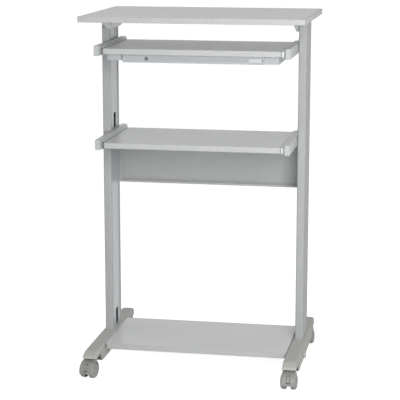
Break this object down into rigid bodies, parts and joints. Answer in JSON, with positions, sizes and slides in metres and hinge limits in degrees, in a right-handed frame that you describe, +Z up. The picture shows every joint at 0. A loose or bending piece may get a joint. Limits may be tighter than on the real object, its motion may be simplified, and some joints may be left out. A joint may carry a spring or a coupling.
{
  "type": "mobile computer desk",
  "caption": "Tall narrow computer desk on casters: flat posts carry a top, pull-out keyboard and middle shelves, a slim drawer, a modesty panel and a base shelf.",
  "frame": {"origin": "floor level under the centre of the desk's footprint", "axes": "+Z up, +X to the right of a person in front of the desk, the front faces -Y"},
  "size_m": [0.7, 0.5742, 1.14],
  "materials": {
    "laminate": "light grey melamine",
    "steel_paint": "grey powder coat",
    "cover": "fine matte grain",
    "casting": "warm grey paint on a casting",
    "pale_plastic": "pale moulded plastic",
    "zinc": "bright zinc plate",
    "drawer_plastic": "fine moulded grain",
    "lock_nickel": "dull nickel plate",
    "caster_plastic": "fine moulded grain",
    "wheel": "smooth moulded tread"
  },
  "bodies": {
    "frame": {"top_board": "laminate", "base_shelf": "laminate", "modesty_panel": "steel_paint", "left_post": "steel_paint", "left_cable_cover": "cover", "left_top_bracket": "steel_paint", "left_foot": "casting", "left_foot_bolt": "casting", "left_shelf_angle": "zinc", "left_keyboard_arm": "steel_paint", "left_keyboard_cap": "pale_plastic", "left_keyboard_race": "zinc", "left_middle_arm": "steel_paint", "left_middle_cap": "pale_plastic", "left_middle_race": "zinc", "right_post": "steel_paint", "right_cable_cover": "cover", "right_top_bracket": "steel_paint", "right_foot": "casting", "right_foot_bolt": "casting", "right_shelf_angle": "zinc", "right_keyboard_arm": "steel_paint", "right_keyboard_cap": "pale_plastic", "right_keyboard_race": "zinc", "right_middle_arm": "steel_paint", "right_middle_cap": "pale_plastic", "right_middle_race": "zinc", "front_left_stem": "zinc", "front_right_stem": "zinc", "rear_left_stem": "zinc", "rear_right_stem": "zinc"},
    "keyboard_shelf": {"keyboard_shelf": "laminate", "left_keyboard_rail": "zinc", "left_drawer_runner": "drawer_plastic", "right_keyboard_rail": "zinc", "right_drawer_runner": "drawer_plastic"},
    "middle_shelf": {"middle_shelf": "laminate", "left_middle_rail": "zinc", "right_middle_rail": "zinc"},
    "drawer": {"drawer_tray": "drawer_plastic", "drawer_pull": "drawer_plastic"},
    "drawer_lock": {"drawer_lock": "lock_nickel"},
    "front_left_caster": {"front_left_hood": "caster_plastic", "front_left_axle": "zinc"},
    "front_left_left_wheel": {"front_left_left_wheel": "wheel"},
    "front_left_right_wheel": {"front_left_right_wheel": "wheel"},
    "front_left_brake": {"front_left_brake_lever": "caster_plastic"},
    "front_right_caster": {"front_right_hood": "caster_plastic", "front_right_axle": "zinc"},
    "front_right_left_wheel": {"front_right_left_wheel": "wheel"},
    "front_right_right_wheel": {"front_right_right_wheel": "wheel"},
    "front_right_brake": {"front_right_brake_lever": "caster_plastic"},
    "rear_left_caster": {"rear_left_hood": "caster_plastic", "rear_left_axle": "zinc"},
    "rear_left_left_wheel": {"rear_left_left_wheel": "wheel"},
    "rear_left_right_wheel": {"rear_left_right_wheel": "wheel"},
    "rear_right_caster": {"rear_right_hood": "caster_plastic", "rear_right_axle": "zinc"},
    "rear_right_left_wheel": {"rear_right_left_wheel": "wheel"},
    "rear_right_right_wheel": {"rear_right_right_wheel": "wheel"}
  },
  "joints": [
    {"name": "keyboard_slide", "type": "slide", "parent": "frame", "child": "keyboard_shelf", "axis": [0, -1, 0], "range_m": [0, 0.24]},
    {"name": "drawer_slide", "type": "slide", "parent": "keyboard_shelf", "child": "drawer", "axis": [0, -1, 0], "range_m": [0, 0.16]},
    {"name": "lock_turn", "type": "hinge", "parent": "drawer", "child": "drawer_lock", "pos_m": [-0.1435, -0.18385, 1.01075], "axis": [0, 1, 0], "range_deg": [0, 90]},
    {"name": "middle_slide", "type": "slide", "parent": "frame", "child": "middle_shelf", "axis": [0, -1, 0], "range_m": [0, 0.24]},
    {"name": "front_left_swivel", "type": "hinge", "parent": "frame", "child": "front_left_caster", "pos_m": [-0.318, -0.23685, 0.063], "axis": [0, 0, 1], "continuous": true},
    {"name": "front_left_left_spin", "type": "hinge", "parent": "front_left_caster", "child": "front_left_left_wheel", "pos_m": [-0.33793, -0.25029, 0.025], "axis": [0.9816, -0.1908, 0], "continuous": true},
    {"name": "front_left_right_spin", "type": "hinge", "parent": "front_left_caster", "child": "front_left_right_wheel", "pos_m": [-0.30456, -0.25678, 0.025], "axis": [0.9816, -0.1908, 0], "continuous": true},
    {"name": "front_left_brake_press", "type": "hinge", "parent": "front_left_caster", "child": "front_left_brake", "pos_m": [-0.32594, -0.2777, 0.03781], "axis": [-0.9816, 0.1908, 0], "range_deg": [0, 10]},
    {"name": "front_right_swivel", "type": "hinge", "parent": "frame", "child": "front_right_caster", "pos_m": [0.318, -0.23685, 0.063], "axis": [0, 0, 1], "continuous": true},
    {"name": "front_right_left_spin", "type": "hinge", "parent": "front_right_caster", "child": "front_right_left_wheel", "pos_m": [0.301, -0.25385, 0.025], "axis": [1, 0, 0], "continuous": true},
    {"name": "front_right_right_spin", "type": "hinge", "parent": "front_right_caster", "child": "front_right_right_wheel", "pos_m": [0.335, -0.25385, 0.025], "axis": [1, 0, 0], "continuous": true},
    {"name": "front_right_brake_press", "type": "hinge", "parent": "front_right_caster", "child": "front_right_brake", "pos_m": [0.318, -0.27847, 0.03781], "axis": [-1, 0, 0], "range_deg": [0, 10]},
    {"name": "rear_left_swivel", "type": "hinge", "parent": "frame", "child": "rear_left_caster", "pos_m": [-0.318, 0.26015, 0.063], "axis": [0, 0, 1], "continuous": true},
    {"name": "rear_left_left_spin", "type": "hinge", "parent": "rear_left_caster", "child": "rear_left_left_wheel", "pos_m": [-0.335, 0.24315, 0.025], "axis": [1, 0, 0], "continuous": true},
    {"name": "rear_left_right_spin", "type": "hinge", "parent": "rear_left_caster", "child": "rear_left_right_wheel", "pos_m": [-0.301, 0.24315, 0.025], "axis": [1, 0, 0], "continuous": true},
    {"name": "rear_right_swivel", "type": "hinge", "parent": "frame", "child": "rear_right_caster", "pos_m": [0.318, 0.26015, 0.063], "axis": [0, 0, 1], "continuous": true},
    {"name": "rear_right_left_spin", "type": "hinge", "parent": "rear_right_caster", "child": "rear_right_left_wheel", "pos_m": [0.301, 0.24315, 0.025], "axis": [1, 0, 0], "continuous": true},
    {"name": "rear_right_right_spin", "type": "hinge", "parent": "rear_right_caster", "child": "rear_right_right_wheel", "pos_m": [0.335, 0.24315, 0.025], "axis": [1, 0, 0], "continuous": true}
  ]
}
